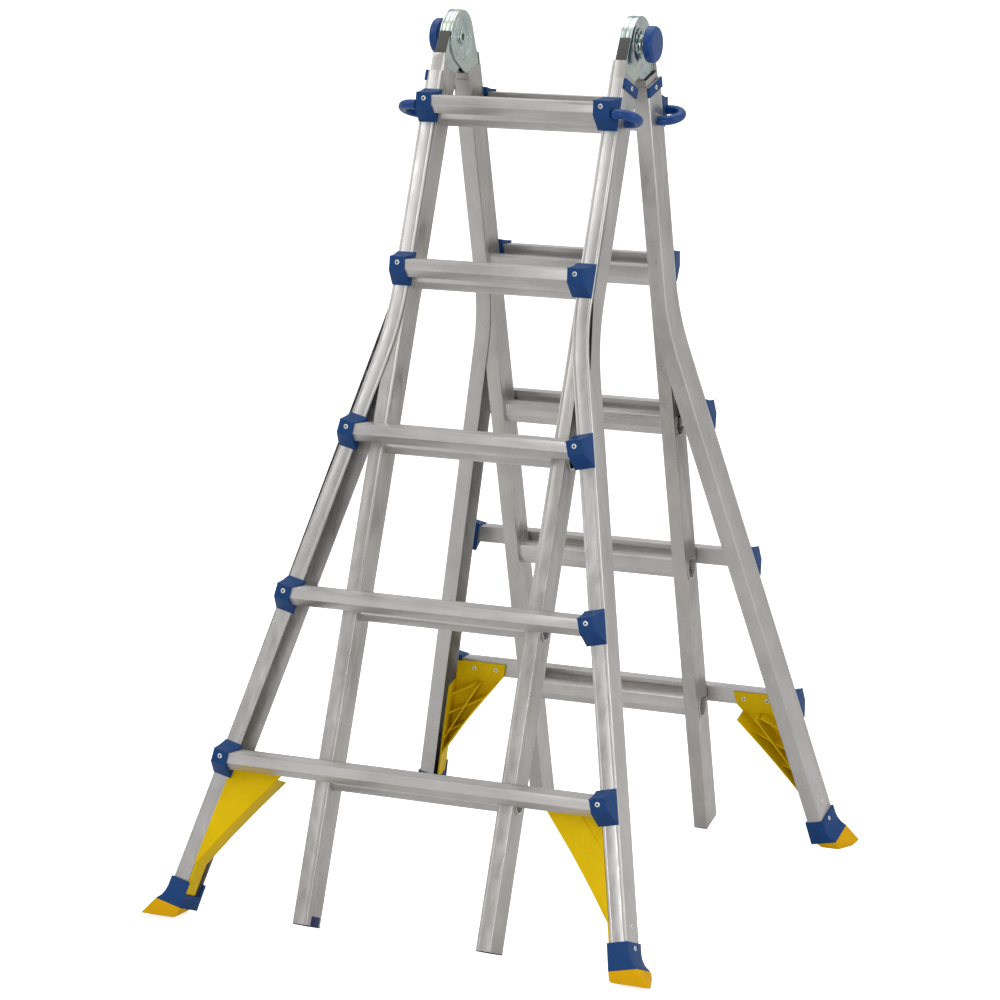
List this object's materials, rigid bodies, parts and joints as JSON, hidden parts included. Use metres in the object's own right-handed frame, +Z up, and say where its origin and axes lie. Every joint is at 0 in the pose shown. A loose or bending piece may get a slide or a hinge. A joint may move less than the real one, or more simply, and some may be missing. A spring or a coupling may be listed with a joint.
{
  "type": "multi position ladder",
  "caption": "Telescoping multi-position step ladder: flared outer sections sleeve over inner ones joined by two locking disc hinges.",
  "frame": {"origin": "on the floor, midway between the four feet", "axes": "+Z up; +Y from the front section towards the rear section; +X to the right as seen from the front"},
  "size_m": [0.9694, 1.1706, 1.614],
  "materials": {
    "outer_rail": "mill extruded",
    "inner_rail": "mill extruded",
    "rung": "ribbed mill extruded",
    "blue_plastic": "fine moulded texture",
    "navy_plastic": "moulded",
    "blue_handle": "smooth moulded",
    "yellow_plastic": "smooth moulded",
    "tread_rubber": "moulded rubber",
    "zinc_plate": "zinc plated, pressed",
    "dark_strip": "dull",
    "rivet": "bright zinc",
    "pin_steel": "turned"
  },
  "bodies": {
    "front_outer": {"front_outer_rail_left": "outer_rail", "front_outer_rail_right": "outer_rail", "front_outer_rung_1": "rung", "front_outer_rung_2": "rung", "front_outer_rung_3": "rung", "front_outer_rung_4": "rung", "front_outer_rung_5": "rung", "front_rung_brackets": "blue_plastic", "front_rail_guides": "blue_plastic", "front_rivets": "rivet", "front_gusset_left": "yellow_plastic", "front_boot_left": "blue_plastic", "front_tread_left": "tread_rubber", "front_gusset_right": "yellow_plastic", "front_boot_right": "blue_plastic", "front_tread_right": "tread_rubber"},
    "front_inner": {"front_inner_rail_left": "inner_rail", "front_inner_rail_right": "inner_rail", "front_inner_rungs": "rung", "front_inner_end_plugs": "navy_plastic", "hinge_front_leaf_left": "zinc_plate", "hinge_edge_strip_left": "dark_strip", "hinge_axle_left": "zinc_plate", "hinge_retainer_left": "zinc_plate", "hinge_front_leaf_right": "zinc_plate", "hinge_edge_strip_right": "dark_strip", "hinge_axle_right": "zinc_plate", "hinge_retainer_right": "zinc_plate"},
    "rear_inner": {"rear_inner_rail_left": "inner_rail", "rear_inner_rail_right": "inner_rail", "rear_inner_rungs": "rung", "rear_inner_end_plugs": "navy_plastic", "hinge_rear_leaf_left": "zinc_plate", "hinge_rear_leaf_right": "zinc_plate"},
    "rear_outer": {"rear_outer_rail_left": "outer_rail", "rear_outer_rail_right": "outer_rail", "rear_outer_rung_1": "rung", "rear_outer_rung_2": "rung", "rear_outer_rung_3": "rung", "rear_outer_rung_4": "rung", "rear_outer_rung_5": "rung", "rear_rung_brackets": "blue_plastic", "rear_rail_guides": "blue_plastic", "rear_rivets": "rivet", "rear_gusset_left": "yellow_plastic", "rear_boot_left": "blue_plastic", "rear_tread_left": "tread_rubber", "rear_gusset_right": "yellow_plastic", "rear_boot_right": "blue_plastic", "rear_tread_right": "tread_rubber"},
    "front_lock_left": {"front_lock_handle_left": "blue_handle", "front_lock_pin_left": "pin_steel"},
    "front_lock_right": {"front_lock_handle_right": "blue_handle", "front_lock_pin_right": "pin_steel"},
    "rear_lock_left": {"rear_lock_handle_left": "blue_handle", "rear_lock_pin_left": "pin_steel"},
    "rear_lock_right": {"rear_lock_handle_right": "blue_handle", "rear_lock_pin_right": "pin_steel"},
    "knob_left": {"hinge_knob_left": "blue_handle"},
    "knob_right": {"hinge_knob_right": "blue_handle"}
  },
  "joints": [
    {"name": "front_extend", "type": "slide", "parent": "front_outer", "child": "front_inner", "axis": [0, 0.3123, 0.95], "range_m": [0, 1.2192]},
    {"name": "hinge_fold", "type": "hinge", "parent": "front_inner", "child": "rear_inner", "pos_m": [0, 0, 1.564], "axis": [1, 0, 0], "range_deg": [-36.4, 143.6]},
    {"name": "rear_extend", "type": "slide", "parent": "rear_inner", "child": "rear_outer", "axis": [0, 0.3123, -0.95], "range_m": [0, 1.2192]},
    {"name": "front_lock_pull_left", "type": "slide", "parent": "front_outer", "child": "front_lock_left", "axis": [-1, 0, 0], "range_m": [0, 0.02], "stiffness_N_per_m": 600, "springref_m": -0.01},
    {"name": "front_lock_pull_right", "type": "slide", "parent": "front_outer", "child": "front_lock_right", "axis": [1, 0, 0], "range_m": [0, 0.02], "stiffness_N_per_m": 600, "springref_m": -0.01},
    {"name": "rear_lock_pull_left", "type": "slide", "parent": "rear_outer", "child": "rear_lock_left", "axis": [-1, 0, 0], "range_m": [0, 0.02], "stiffness_N_per_m": 600, "springref_m": -0.01},
    {"name": "rear_lock_pull_right", "type": "slide", "parent": "rear_outer", "child": "rear_lock_right", "axis": [1, 0, 0], "range_m": [0, 0.02], "stiffness_N_per_m": 600, "springref_m": -0.01},
    {"name": "release_knob_left", "type": "slide", "parent": "front_inner", "child": "knob_left", "axis": [1, 0, 0], "range_m": [0, 0.009], "stiffness_N_per_m": 1500, "springref_m": -0.005},
    {"name": "release_knob_right", "type": "slide", "parent": "front_inner", "child": "knob_right", "axis": [-1, 0, 0], "range_m": [0, 0.009], "stiffness_N_per_m": 1500, "springref_m": -0.005}
  ]
}
